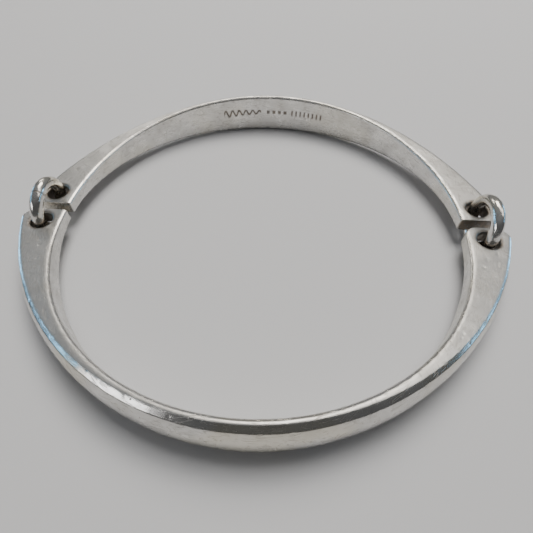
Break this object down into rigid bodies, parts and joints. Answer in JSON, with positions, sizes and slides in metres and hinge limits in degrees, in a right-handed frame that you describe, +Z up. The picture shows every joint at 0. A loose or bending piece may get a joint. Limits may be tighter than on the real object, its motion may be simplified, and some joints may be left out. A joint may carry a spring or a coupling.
{
  "type": "hinged link bangle bracelet",
  "caption": "Round wrist bangle of two D-section half hoops that flatten to drilled end plates, joined and folding on round wire links.",
  "frame": {"origin": "centre of the wrist opening, on the surface that the bangle lies on", "axes": "+Z up through the wrist opening, +X from the left link to the right link, +Y towards the back half"},
  "size_m": [0.0748, 0.0664, 0.0092],
  "materials": {
    "hoop_silver": "satin, hand-filed solid silver with fine scratches",
    "wire_silver": "worn, half-polished silver wire"
  },
  "bodies": {
    "back": {"back_half": "hoop_silver"},
    "front": {"front_half": "hoop_silver"},
    "left_link": {"link_left": "wire_silver"},
    "right_link": {"link_right": "wire_silver"}
  },
  "joints": [
    {"name": "fold", "type": "hinge", "parent": "back", "child": "front", "pos_m": [0, 0.00025, 0.00465], "axis": [-1, 0, 0], "range_deg": [-30, 162]},
    {"name": "link_left_turn", "type": "hinge", "parent": "back", "child": "left_link", "pos_m": [-0.0338, 0.00025, 0.00465], "axis": [0.9962, 0, -0.0872], "continuous": true},
    {"name": "link_right_turn", "type": "hinge", "parent": "back", "child": "right_link", "pos_m": [0.0338, 0.00025, 0.00465], "axis": [0.9976, 0, -0.0698], "continuous": true}
  ]
}
